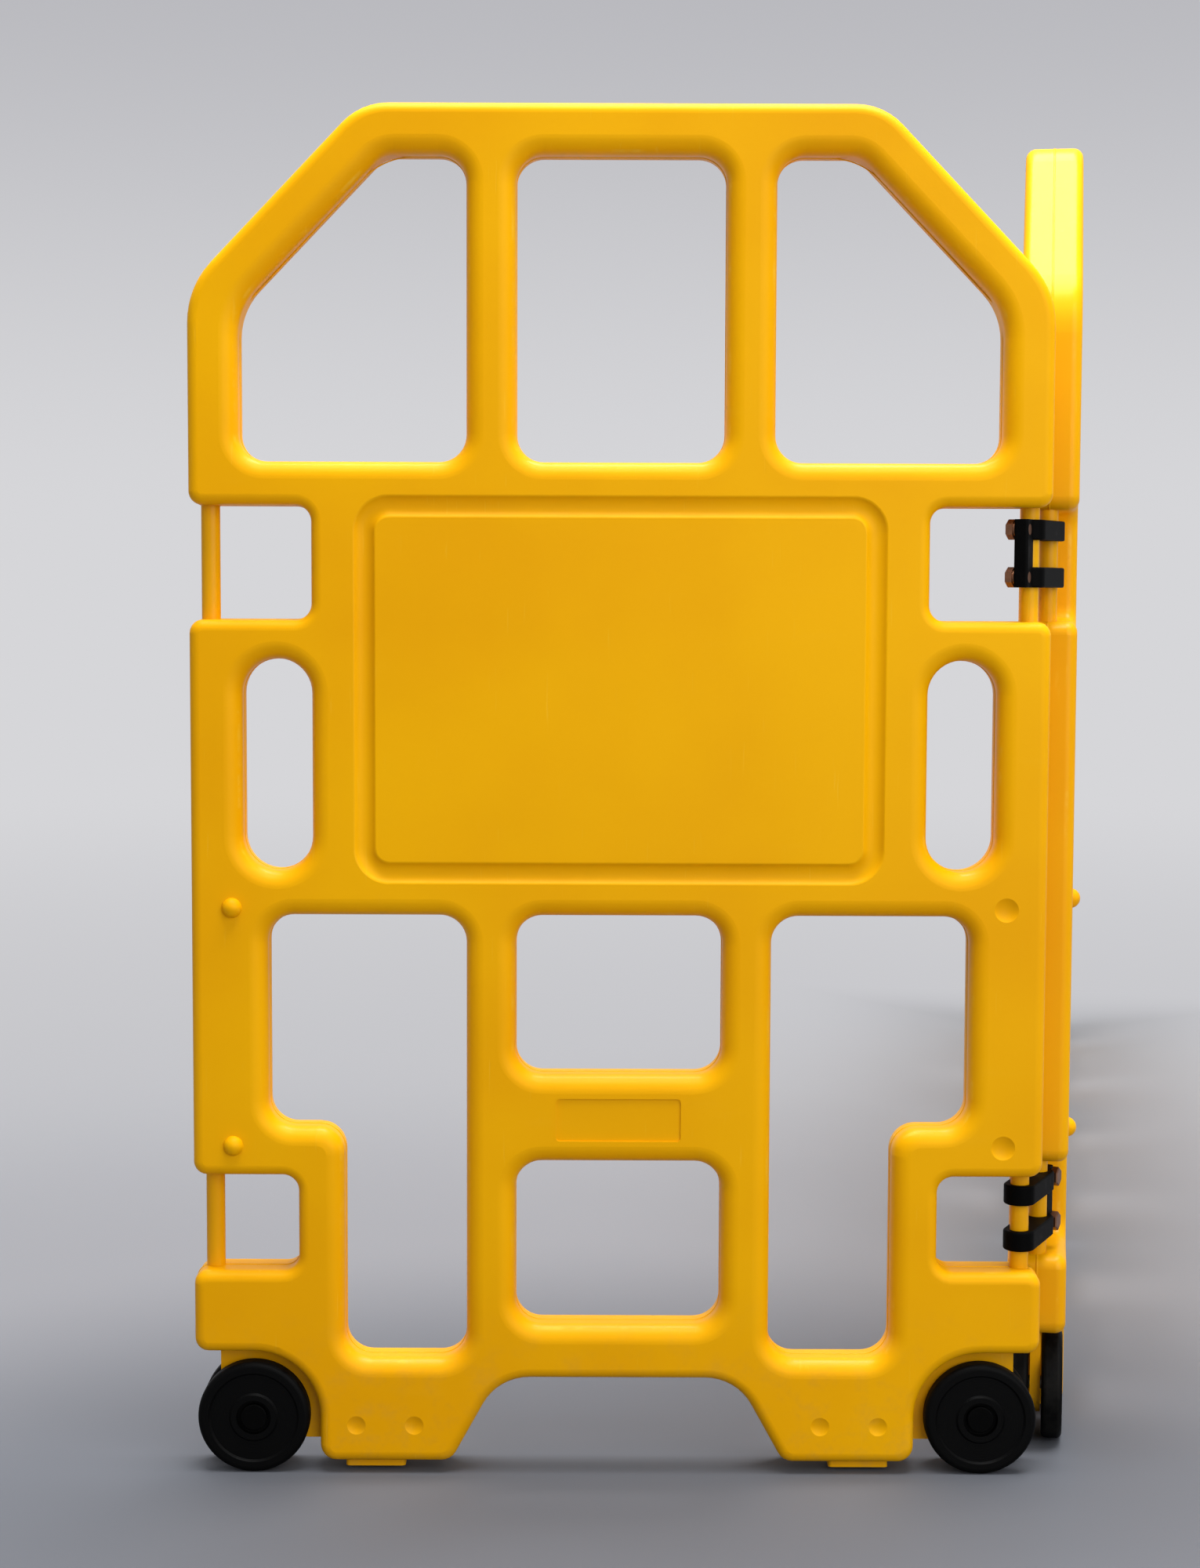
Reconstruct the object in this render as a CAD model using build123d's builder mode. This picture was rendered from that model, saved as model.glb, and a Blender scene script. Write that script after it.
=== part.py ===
from build123d import *

import os
from math import atan2, radians, tan

# Expandable barrier: moulded panels on twin wheels, joined by clamped double-pivot hinges.
# X runs along the first panel, Y from front to back, Z up from the floor.

# How many panels there are, and how they stand, in degrees from the first panel's line
PANEL_COUNT = 4
FIRST_LINK_TURN = 64.4
CORNER_TURN = 80.3

# Panel body
PANEL_WIDTH = 635.0
PANEL_THICK = 45.0
RAIL = 36.5
MULLION = 36.5
EDGE_ROUND = 8.0
WINDOW_ROUND = 13.0
MOUTH_ROUND = 10.0
NOTCH_ROUND = 12.0
WINDOW_CORNER = 20.0
SHOULDER_RUN = 127.5
SHOULDER_DROP = 133.0
TOP_CORNER = 47.0
SHOULDER_CORNER = 65.0
INNER_SHOULDER_CORNER = 50.0

# Heights of the side column, from the wheel well up
WELL_GAP = 8.0
LOWER_BLOCK = 62.0
LOWER_NOTCH = 72.5
LEDGE_RAIL = 36.0
LONG_WINDOW_HEAD = 159.5
SLOT_SILL = 33.0
SLOT_HEIGHT = 157.5
SLOT_HEAD = 28.5
UPPER_NOTCH = 84.0
UPPER_SILL = 32.0
UPPER_WINDOW = 222.5

# Widths of the side column
UPPER_NOTCH_DEPTH = 90.0
LOWER_NOTCH_DEPTH = 78.5
LOWER_STRUT = 34.0
LOWER_STILE = 56.0
SLOT_WIDTH = 51.5
SLOT_INSET = 64.0

# Middle column and feet
MIDDLE_WINDOW = 154.0
ARCH_HEIGHT = 72.5
ARCH_TOP_WIDTH = 179.0
ARCH_FOOT_WIDTH = 250.0
ARCH_ROUND = 40.0
ARCH_RAIL = 40.0
LOW_WINDOW = 124.5
LABEL_RAIL = 65.5
FOOT_CLEARANCE = 8.5
FOOT_HEIGHT = 78.0
FOOT_CORNER = 12.0
PAD_LENGTH = 45.0
PAD_WIDTH = 26.0
PAD_DROP = 5.5
PAD_ROUND = 3.0
PAD_SHIFT = 8.0

# Sign border, label pocket, nesting bumps and dimples
SIGN_HEIGHT = 270.0
SIGN_MARGIN = 39.5
SIGN_CORNER = 18.0
GROOVE_WIDTH = 15.0
GROOVE_DEPTH = 4.0
GROOVE_ROUND = 2.0
POCKET_WIDTH = 93.0
POCKET_HEIGHT = 32.0
POCKET_DEPTH = 1.2
POCKET_CORNER = 3.0
BUMP_DIAMETER = 15.0
BUMP_HEIGHT = 6.0
BUMP_INSET = 30.5
UPPER_BUMP_RISE = 6.0
LOWER_BUMP_DROP = 13.0
DIMPLE_DIAMETER = 18.0
DIMPLE_DEPTH = 3.0
FOOT_DIMPLE_DIAMETER = 14.0
FOOT_DIMPLE_DEPTH = 2.0
FOOT_DIMPLE_PITCH = 43.5
FOOT_DIMPLE_HEIGHT = 37.0

# Wheels and axles
WHEEL_DIAMETER = 84.0
WHEEL_WIDTH = 16.0
WHEEL_ROUND = 4.0
WHEEL_GAP = 1.0
DISH_INNER = 34.0
DISH_OUTER = 68.0
DISH_DEPTH = 1.5
HUB_RECESS_DIAMETER = 26.0
HUB_RECESS_DEPTH = 5.0
WEB_THICK = 8.0
WEB_SETBACK = 17.5
WEB_DROP = 20.0
WEB_CORNER = 18.0
WEB_ROOT = 1.5
AXLE_INSET = 44.0
AXLE_DIAMETER = 10.0
AXLE_PLAY = 0.3
CAP_DIAMETER = 20.0
CAP_HEIGHT = 4.0
CAP_CROWN = 1.2
CAP_GAP = 0.4
CAP_ROUND = 1.0

# Hinge rods, clips and screws
ROD_DIAMETER = 14.0
ROD_INSET = 14.0
ROD_ROOT = 6.0
LINK_LENGTH = 50.0
ROD_PLAY = 0.4
STRAP_WALL = 4.6
STRAP_HEIGHT = 15.0
CLIP_HEIGHT = 50.0
CLIP_DROP = 8.5
STRAP_ROUND = 1.5
FLANGE_LENGTH = 12.0
FLANGE_THICK = 10.5
FLANGE_ROUND = 2.0
SCREW_DIAMETER = 8.0
SCREW_PLAY = 0.2
SCREW_COLLAR_DIAMETER = 11.0
SCREW_COLLAR_HEIGHT = 1.2
SCREW_HEAD_SIDES = 6
SCREW_HEAD_WIDTH = 13.0
SCREW_HEAD_HEIGHT = 5.3
SCREW_HEAD_BEVEL = 0.8

# Places worked out from the sizes above, heights from the floor
half_width = PANEL_WIDTH / 2
half_thick = PANEL_THICK / 2
axle_x = half_width - AXLE_INSET
axle_z = WHEEL_DIAMETER / 2
well_radius = WHEEL_DIAMETER / 2 + WELL_GAP
well_top = axle_z + well_radius
well_side = axle_x - well_radius
lower_notch_low = well_top + LOWER_BLOCK
lower_notch_high = lower_notch_low + LOWER_NOTCH
ledge_z = lower_notch_high + LEDGE_RAIL
long_window_high = ledge_z + LONG_WINDOW_HEAD
slot_low = long_window_high + SLOT_SILL
slot_high = slot_low + SLOT_HEIGHT
upper_notch_low = slot_high + SLOT_HEAD
upper_notch_high = upper_notch_low + UPPER_NOTCH
upper_window_low = upper_notch_high + UPPER_SILL
upper_window_high = upper_window_low + UPPER_WINDOW
panel_height = upper_window_high + RAIL
long_window_low = FOOT_CLEARANCE + FOOT_HEIGHT
low_window_low = ARCH_HEIGHT + ARCH_RAIL
low_window_high = low_window_low + LOW_WINDOW
high_window_low = low_window_high + LABEL_RAIL
label_z = (low_window_high + high_window_low) / 2
sign_z = (long_window_high + upper_window_low) / 2

upper_notch_x = half_width - UPPER_NOTCH_DEPTH
lower_notch_x = half_width - LOWER_NOTCH_DEPTH
window_near = MIDDLE_WINDOW / 2 + MULLION
window_far = half_width - RAIL
long_window_far = half_width - LOWER_STILE
neck_far = lower_notch_x - LOWER_STRUT
slot_x = half_width - SLOT_INSET
web_far = half_width - WEB_SETBACK
sign_width = 2 * (upper_notch_x - SIGN_MARGIN)
rod_x = half_width - ROD_INSET
bump_x = half_width - BUMP_INSET
bump_heights = (long_window_high + UPPER_BUMP_RISE, ledge_z - LOWER_BUMP_DROP)
foot_x = (well_side + ARCH_FOOT_WIDTH / 2) / 2

shoulder_slope = atan2(SHOULDER_DROP, SHOULDER_RUN)
inner_top_x = half_width - SHOULDER_RUN - RAIL * tan(shoulder_slope / 2)
inner_shoulder_z = panel_height - SHOULDER_DROP - RAIL * tan(radians(45) - shoulder_slope / 2)

clip_heights = (upper_notch_high - CLIP_DROP - CLIP_HEIGHT, lower_notch_high - CLIP_DROP - CLIP_HEIGHT)
strap_radius = ROD_DIAMETER / 2 + ROD_PLAY + STRAP_WALL
flange_near = ROD_DIAMETER / 2 + ROD_PLAY + STRAP_WALL / 2
flange_far = strap_radius + FLANGE_LENGTH
screw_x = -(strap_radius + flange_far) / 2
wheel_inner = WEB_THICK / 2 + WHEEL_GAP
wheel_outer = wheel_inner + WHEEL_WIDTH
cap_inner = wheel_outer - HUB_RECESS_DEPTH + CAP_GAP
axle_end = cap_inner + CAP_HEIGHT - CAP_CROWN


def ball_radius(diameter, height):
    """Radius of the ball whose cap has this diameter and height."""
    return (diameter**2 / 4 + height**2) / (2 * height)


# Front view of the panel's outline, right half from the top down to the arch
with BuildSketch(Plane.XZ) as outline:
    with BuildLine():
        FilletPolyline(
            (0, panel_height),
            (half_width - SHOULDER_RUN, panel_height),
            (half_width, panel_height - SHOULDER_DROP),
            (half_width, upper_notch_high),
            (upper_notch_x, upper_notch_high),
            (upper_notch_x, upper_notch_low),
            (half_width, upper_notch_low),
            (half_width, lower_notch_high),
            (lower_notch_x, lower_notch_high),
            (lower_notch_x, lower_notch_low),
            (half_width, lower_notch_low),
            (half_width, well_top),
            (well_side, well_top),
            (well_side, FOOT_CLEARANCE),
            (ARCH_FOOT_WIDTH / 2, FOOT_CLEARANCE),
            (ARCH_TOP_WIDTH / 2, ARCH_HEIGHT),
            (0, ARCH_HEIGHT),
            radius=[
                TOP_CORNER,
                SHOULDER_CORNER,
                *(MOUTH_ROUND, NOTCH_ROUND, NOTCH_ROUND, MOUTH_ROUND) * 2,
                MOUTH_ROUND,
                well_radius,
                FOOT_CORNER,
                FOOT_CORNER,
                ARCH_ROUND,
            ],
        )
        mirror(about=Plane.YZ)
    make_face()

# Windows: the right-hand ones and their mirror images, then the middle ones
with BuildSketch(Plane.XZ) as windows:
    with BuildLine():
        FilletPolyline(
            (window_near, upper_window_low),
            (window_far, upper_window_low),
            (window_far, inner_shoulder_z),
            (inner_top_x, upper_window_high),
            (window_near, upper_window_high),
            radius=[WINDOW_CORNER, WINDOW_CORNER, INNER_SHOULDER_CORNER, WINDOW_CORNER, WINDOW_CORNER],
            close=True,
        )
    make_face()
    with BuildLine():
        FilletPolyline(
            (window_near, long_window_low),
            (neck_far, long_window_low),
            (neck_far, ledge_z),
            (long_window_far, ledge_z),
            (long_window_far, long_window_high),
            (window_near, long_window_high),
            radius=WINDOW_CORNER,
            close=True,
        )
    make_face()
    with Locations((slot_x, (slot_low + slot_high) / 2)):
        SlotOverall(SLOT_HEIGHT, SLOT_WIDTH, rotation=90)
    mirror(about=Plane.YZ)
    for low, high in (
        (upper_window_low, upper_window_high),
        (high_window_low, long_window_high),
        (low_window_low, low_window_high),
    ):
        with Locations((0, (low + high) / 2)):
            RectangleRounded(MIDDLE_WINDOW, high - low, WINDOW_CORNER)


def rim_edges(pick_wires):
    """Edges of the chosen wires on the panel's front and back faces."""
    flats = panel.faces().filter_by(Axis.Y).sort_by(Axis.Y)
    return [e for flat in (flats[0], flats[-1]) for wire in pick_wires(flat) for e in wire.edges()]


def ball_places(places, offset):
    """Centres of balls at this distance outside both faces."""
    return [(x, side * (half_thick + offset), z) for x, z in places for side in (-1, 1)]


groove_ball = ball_radius(GROOVE_WIDTH, GROOVE_DEPTH)
bump_ball = ball_radius(BUMP_DIAMETER, BUMP_HEIGHT)
dimple_ball = ball_radius(DIMPLE_DIAMETER, DIMPLE_DEPTH)
foot_ball = ball_radius(FOOT_DIMPLE_DIAMETER, FOOT_DIMPLE_DEPTH)
bump_places = ball_places([(-bump_x, z) for z in bump_heights], BUMP_HEIGHT - bump_ball)
dimple_places = ball_places([(bump_x, z) for z in bump_heights], dimple_ball - DIMPLE_DEPTH)
foot_dimple_places = ball_places(
    [
        (side * foot_x + step * FOOT_DIMPLE_PITCH / 2, FOOT_DIMPLE_HEIGHT)
        for side in (-1, 1)
        for step in (-1, 1)
    ],
    foot_ball - FOOT_DIMPLE_DEPTH,
)

# Bar that presses the round-bottomed groove of the sign border into both faces
with BuildPart() as groove:
    with BuildLine(Plane.XZ.offset(half_thick + groove_ball - GROOVE_DEPTH)) as border:
        FilletPolyline(
            (-sign_width / 2, sign_z - SIGN_HEIGHT / 2),
            (sign_width / 2, sign_z - SIGN_HEIGHT / 2),
            (sign_width / 2, sign_z + SIGN_HEIGHT / 2),
            (-sign_width / 2, sign_z + SIGN_HEIGHT / 2),
            radius=SIGN_CORNER,
            close=True,
        )
    with BuildSketch(Plane(origin=border.line @ 0, z_dir=border.line % 0)):
        Circle(groove_ball)
    sweep()
    mirror(about=Plane.XZ)

# Hinge rods across the notches, each set a little way into the notch's floor and roof
with BuildPart() as rods:
    for low, high in ((upper_notch_low, upper_notch_high), (lower_notch_low, lower_notch_high)):
        with Locations((-rod_x, 0, low - ROD_ROOT), (rod_x, 0, low - ROD_ROOT)):
            Cylinder(
                ROD_DIAMETER / 2,
                high - low + 2 * ROD_ROOT,
                align=(Align.CENTER, Align.CENTER, Align.MIN),
            )

with BuildPart() as panel:
    with BuildSketch(Plane.XZ):
        add(outline.sketch)
        add(windows.sketch, mode=Mode.SUBTRACT)
    extrude(amount=half_thick, both=True)
    fillet(rim_edges(lambda flat: flat.inner_wires()), radius=WINDOW_ROUND)
    fillet(rim_edges(lambda flat: [flat.outer_wire()]), radius=EDGE_ROUND)
    add(groove.part, mode=Mode.SUBTRACT)
    groove_edges = panel.edges(Select.LAST).group_by(Axis.Y)
    fillet(groove_edges[0] + groove_edges[-1], radius=GROOVE_ROUND)
    # Label pocket in the front face, dimples in both faces and nesting bumps on both
    with BuildSketch(Plane.XZ.offset(half_thick)):
        with Locations((0, label_z)):
            RectangleRounded(POCKET_WIDTH, POCKET_HEIGHT, POCKET_CORNER)
    extrude(amount=-POCKET_DEPTH, mode=Mode.SUBTRACT)
    with Locations(*dimple_places):
        Sphere(dimple_ball, mode=Mode.SUBTRACT)
    with Locations(*foot_dimple_places):
        Sphere(foot_ball, mode=Mode.SUBTRACT)
    with Locations(*bump_places):
        Sphere(bump_ball)
    # Thin web in each wheel well that carries the axle
    with BuildSketch(Plane.XZ):
        with BuildLine():
            FilletPolyline(
                (well_side - WEB_ROOT, axle_z - WEB_DROP),
                (web_far, axle_z - WEB_DROP),
                (web_far, well_top + WEB_ROOT),
                (well_side - WEB_ROOT, well_top + WEB_ROOT),
                radius=[WEB_ROOT / 2, WEB_CORNER, WEB_ROOT / 2, well_radius + WEB_ROOT],
                close=True,
            )
        make_face()
        mirror(about=Plane.YZ)
    extrude(amount=WEB_THICK / 2, both=True)
    with BuildSketch(Plane.XZ):
        with Locations((-axle_x, axle_z), (axle_x, axle_z)):
            Circle(AXLE_DIAMETER / 2)
    extrude(amount=WEB_THICK, both=True, mode=Mode.SUBTRACT)
    # Moulded pads under the feet, and sockets for the rods
    with BuildSketch(Plane.XY.offset(FOOT_CLEARANCE)):
        with Locations((-foot_x - PAD_SHIFT, 0), (foot_x + PAD_SHIFT, 0)):
            RectangleRounded(PAD_LENGTH, PAD_WIDTH, PAD_ROUND)
    extrude(amount=PAD_DROP, both=True)
    add(rods.part, mode=Mode.SUBTRACT)

# Wheel: a disc turned about its axle, with a dished face and a recess for the cap
with BuildPart() as wheel:
    with BuildSketch(Plane.XY):
        with BuildLine():
            Polyline(
                (AXLE_DIAMETER / 2 + AXLE_PLAY, wheel_inner),
                (WHEEL_DIAMETER / 2, wheel_inner),
                (WHEEL_DIAMETER / 2, wheel_outer),
                (DISH_OUTER / 2, wheel_outer),
                (DISH_OUTER / 2 - DISH_DEPTH, wheel_outer - DISH_DEPTH),
                (DISH_INNER / 2 + DISH_DEPTH, wheel_outer - DISH_DEPTH),
                (DISH_INNER / 2, wheel_outer),
                (HUB_RECESS_DIAMETER / 2, wheel_outer),
                (HUB_RECESS_DIAMETER / 2, wheel_outer - HUB_RECESS_DEPTH),
                (AXLE_DIAMETER / 2 + AXLE_PLAY, wheel_outer - HUB_RECESS_DEPTH),
                close=True,
            )
        make_face()
    revolve(axis=Axis.Y)
    tread = wheel.faces().filter_by(GeomType.CYLINDER).sort_by(SortBy.RADIUS)[-1]
    fillet(tread.edges().filter_by(GeomType.CIRCLE), radius=WHEEL_ROUND)

# Axle: a plain steel pin pressed through the web
with BuildPart() as axle:
    with BuildSketch(Plane.XZ):
        Circle(AXLE_DIAMETER / 2)
    extrude(amount=axle_end, both=True)

# Push-on cap over each end of an axle
with BuildPart() as caps:
    with BuildSketch(Plane.XY):
        with BuildLine():
            Polyline(
                (0, axle_end),
                (AXLE_DIAMETER / 2, axle_end),
                (AXLE_DIAMETER / 2, cap_inner),
                (CAP_DIAMETER / 2, cap_inner),
                (CAP_DIAMETER / 2, cap_inner + CAP_HEIGHT),
                (0, cap_inner + CAP_HEIGHT),
                close=True,
            )
        make_face()
    revolve(axis=Axis.Y)
    fillet(caps.faces().sort_by(Axis.Y)[-1].edges(), radius=CAP_ROUND)
    mirror(about=Plane.XZ)


def clip_half(hole_radius):
    """Half of a hinge clip, on the left of the line from rod to rod, with its clamping flange."""
    with BuildPart() as half:
        with BuildSketch():
            with Locations((LINK_LENGTH / 2, 0)):
                SlotCenterToCenter(LINK_LENGTH, 2 * strap_radius)
            split(bisect_by=Plane.XZ, keep=Keep.BOTTOM)
        extrude(amount=STRAP_HEIGHT)
        outer_rims = half.edges().filter_by(Plane.XY).group_by(Axis.Y)[1:]
        fillet([rim for group in outer_rims for rim in group], radius=STRAP_ROUND)
        with BuildSketch():
            with Locations((0, 0), (LINK_LENGTH, 0)):
                Circle(ROD_DIAMETER / 2 + ROD_PLAY)
        extrude(amount=STRAP_HEIGHT, mode=Mode.SUBTRACT)
        add(half.part.moved(Pos(0, 0, CLIP_HEIGHT - STRAP_HEIGHT)))
        with BuildSketch():
            with Locations((-(flange_near + flange_far) / 2, FLANGE_THICK / 4)):
                flange = Rectangle(flange_far - flange_near, FLANGE_THICK / 2)
            fillet(flange.vertices().group_by(Axis.X)[0].sort_by(Axis.Y)[-1], radius=FLANGE_ROUND)
        extrude(amount=CLIP_HEIGHT)
        with BuildSketch(Plane.XZ):
            with Locations(*screw_places):
                Circle(hole_radius)
        extrude(amount=-FLANGE_THICK / 2, mode=Mode.SUBTRACT)
    return half.part


screw_places = ((screw_x, STRAP_HEIGHT / 2), (screw_x, CLIP_HEIGHT - STRAP_HEIGHT / 2))
clip_cover = clip_half(SCREW_DIAMETER / 2 + SCREW_PLAY)
clip_base = clip_half(SCREW_DIAMETER / 2).mirror(Plane.XZ)

# Pair of hex-head screws that clamp a clip's halves together
with BuildPart() as screws:
    with BuildSketch(Plane.XZ.offset(FLANGE_THICK / 2)):
        with Locations(*screw_places):
            Circle(SCREW_DIAMETER / 2)
    extrude(amount=-FLANGE_THICK)
    with BuildSketch(Plane.XZ.offset(-FLANGE_THICK / 2)):
        with Locations(*screw_places):
            Circle(SCREW_COLLAR_DIAMETER / 2)
    extrude(amount=-SCREW_COLLAR_HEIGHT)
    with BuildSketch(Plane.XZ.offset(-FLANGE_THICK / 2 - SCREW_COLLAR_HEIGHT)):
        with Locations(*screw_places):
            RegularPolygon(
                SCREW_HEAD_WIDTH / 2,
                SCREW_HEAD_SIDES,
                major_radius=False,
                rotation=180 / SCREW_HEAD_SIDES,
            )
    extrude(amount=-SCREW_HEAD_HEIGHT)
    crowns = screws.faces().filter_by(Axis.Y).group_by(Axis.Y)[-1]
    chamfer(crowns.edges(), length=SCREW_HEAD_BEVEL)

# Where each panel and each link stands, seen from above
panel_turns = [0] + [CORNER_TURN] * (PANEL_COUNT - 1)
link_turns = [FIRST_LINK_TURN] + [CORNER_TURN] * (PANEL_COUNT - 2)


def step_along(point, turn, length):
    """The point this far along a heading."""
    return point + Vector(length, 0, 0).rotate(Axis.Z, turn)


panel_points = [Vector(0, 0, 0)]
link_points = []
for turn, link_turn, next_turn in zip(panel_turns, link_turns, panel_turns[1:]):
    near_rod = step_along(panel_points[-1], turn, rod_x)
    far_rod = step_along(near_rod, link_turn, LINK_LENGTH)
    link_points.append(near_rod)
    panel_points.append(step_along(far_rod, next_turn, rod_x))

# Every piece in its place
pieces = {}
for number, (point, turn) in enumerate(zip(panel_points, panel_turns), 1):
    here = Location(point, (0, 0, turn))
    pieces[f"panel_{number}"] = panel.part.moved(here)
    pieces[f"hinge_rods_{number}"] = rods.part.moved(here)
    ends = {"left": Pos(-axle_x, 0, axle_z), "right": Pos(axle_x, 0, axle_z)}
    for end, spot in ends.items():
        pieces[f"{end}_axle_{number}"] = axle.part.moved(here * spot)
        pieces[f"back_{end}_wheel_{number}"] = wheel.part.moved(here * spot)
        pieces[f"front_{end}_wheel_{number}"] = wheel.part.moved(here * spot * Rot(0, 0, 180))
    pieces[f"axle_caps_{number}"] = Compound(
        children=[cap.moved(here * spot) for spot in ends.values() for cap in caps.solids()]
    )
for number, (point, turn) in enumerate(zip(link_points, link_turns), 1):
    upper_z, lower_z = clip_heights
    upper = Location(point, (0, 0, turn)) * Pos(0, 0, upper_z)
    lower = Location(point, (0, 0, turn)) * Pos(LINK_LENGTH, 0, lower_z) * Rot(0, 0, 180)
    for level, here in (("upper", upper), ("lower", lower)):
        pieces[f"{level}_clip_cover_{number}"] = clip_cover.moved(here)
        pieces[f"{level}_clip_base_{number}"] = clip_base.moved(here)
    pieces[f"clip_screws_{number}"] = Compound(
        children=[screw.moved(here) for here in (upper, lower) for screw in screws.solids()]
    )

# The barrier stands on the floor with the middle of its box over the origin
box = Compound(children=[piece.moved(Location()) for piece in pieces.values()]).bounding_box()
centre = Pos(-box.center().X, -box.center().Y, 0)
os.makedirs("parts", exist_ok=True)
for name, piece in pieces.items():
    placed = piece.moved(centre)
    placed.label = name
    export_step(placed, f"parts/{name}.step")
print("pieces", len(pieces), "box", box.size, "height", panel_height)
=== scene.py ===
import math

import bpy
import numpy as np
from bpy.props import FloatProperty, FloatVectorProperty, IntProperty, PointerProperty
from mathutils import Euler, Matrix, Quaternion, Vector


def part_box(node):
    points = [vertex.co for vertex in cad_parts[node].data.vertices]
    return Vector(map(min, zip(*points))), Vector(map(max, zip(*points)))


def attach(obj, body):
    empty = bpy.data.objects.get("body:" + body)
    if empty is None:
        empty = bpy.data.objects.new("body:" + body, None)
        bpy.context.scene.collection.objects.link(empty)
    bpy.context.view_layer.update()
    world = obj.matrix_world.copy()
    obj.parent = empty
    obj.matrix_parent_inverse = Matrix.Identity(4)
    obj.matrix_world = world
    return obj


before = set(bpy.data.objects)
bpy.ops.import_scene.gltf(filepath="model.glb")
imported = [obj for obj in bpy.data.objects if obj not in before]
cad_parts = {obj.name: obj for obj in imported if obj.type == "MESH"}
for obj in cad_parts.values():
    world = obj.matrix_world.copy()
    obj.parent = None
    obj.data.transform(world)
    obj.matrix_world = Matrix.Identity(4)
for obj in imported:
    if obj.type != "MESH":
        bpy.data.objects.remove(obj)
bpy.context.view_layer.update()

bl_info = {
    "name": "Expandable Barrier",
    "version": (1, 0, 0),
    "blender": (4, 5, 0),
    "location": "3D View > Sidebar > Barrier",
    "description": "Finishes the barrier's panels, wheels and hinges and sets it on a studio floor",
    "category": "Object",
}

# Sizes of the solids that the finishes follow, in metres
PANEL_COUNT = 4
CORNER_TURN = math.radians(80.3)
FIRST_LINK_TURN = math.radians(64.4)
HALF_THICK = 0.0225
ROD_X = 0.3035
LINK_LENGTH = 0.050
WHEEL_RADIUS = 0.042
EDGE_ROUND = 0.008
GROOVE_DEPTH = 0.004

# Heights between which the dust on the feet fades, and depths at which the dust on a wheel's tread does
DUST_FADE = (0.0, 0.16)
TREAD_FADE = (0.0012, 0.0002)

# Depth of the moulded texture of the black plastic and of the brush marks on steel
FINE_RELIEF = 0.00005
BRUSHED_RELIEF = 0.00002

# Heights of the panel's features above the floor
PANEL_TOP = 1.0160
SHOULDER_Z = 0.8830
UPPER_NOTCH = (0.6410, 0.7250)
LOWER_NOTCH = (0.1540, 0.2265)
WELL_TOP = 0.0920
FOOT_Z = 0.0085
ARCH_TOP = 0.0725
UPPER_WINDOW = (0.7570, 0.9795)
INNER_SHOULDER_Z = 0.8673
LONG_WINDOW = (0.0865, 0.4220)
LEDGE_Z = 0.2625
HAND_SLOT = (0.4550, 0.6125)

# Their distances from the panel's upright middle line
PANEL_HALF = 0.3175
SHOULDER_X = 0.1900
UPPER_NOTCH_X = 0.2275
LOWER_NOTCH_X = 0.2390
WELL_X = 0.2235
ARCH_FOOT_X = 0.1250
ARCH_TOP_X = 0.0895
WINDOW_SPAN = (0.1135, 0.2810)
INNER_SHOULDER_X = 0.1746
LONG_WINDOW_FAR = 0.2615
NECK_FAR = 0.2050
SLOT_SPAN = (0.22775, 0.27925)
MIDDLE_HALF = 0.0770

# Corner radii of the outline and the windows
TOP_CORNER = 0.047
SHOULDER_CORNER = 0.065
MOUTH_ROUND = 0.010
NOTCH_ROUND = 0.012
WELL_ROUND = 0.050
FOOT_CORNER = 0.012
ARCH_ROUND = 0.040
WINDOW_CORNER = 0.020
INNER_SHOULDER_CORNER = 0.050
SLOT_CORNER = 0.0257

# Right half of the panel's outline from the top down, as x, z and corner radius
OUTLINE_HALF = (
    (SHOULDER_X, PANEL_TOP, TOP_CORNER),
    (PANEL_HALF, SHOULDER_Z, SHOULDER_CORNER),
    (PANEL_HALF, UPPER_NOTCH[1], MOUTH_ROUND),
    (UPPER_NOTCH_X, UPPER_NOTCH[1], NOTCH_ROUND),
    (UPPER_NOTCH_X, UPPER_NOTCH[0], NOTCH_ROUND),
    (PANEL_HALF, UPPER_NOTCH[0], MOUTH_ROUND),
    (PANEL_HALF, LOWER_NOTCH[1], MOUTH_ROUND),
    (LOWER_NOTCH_X, LOWER_NOTCH[1], NOTCH_ROUND),
    (LOWER_NOTCH_X, LOWER_NOTCH[0], NOTCH_ROUND),
    (PANEL_HALF, LOWER_NOTCH[0], MOUTH_ROUND),
    (PANEL_HALF, WELL_TOP, MOUTH_ROUND),
    (WELL_X, WELL_TOP, WELL_ROUND),
    (WELL_X, FOOT_Z, FOOT_CORNER),
    (ARCH_FOOT_X, FOOT_Z, FOOT_CORNER),
    (ARCH_TOP_X, ARCH_TOP, ARCH_ROUND),
)

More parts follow.
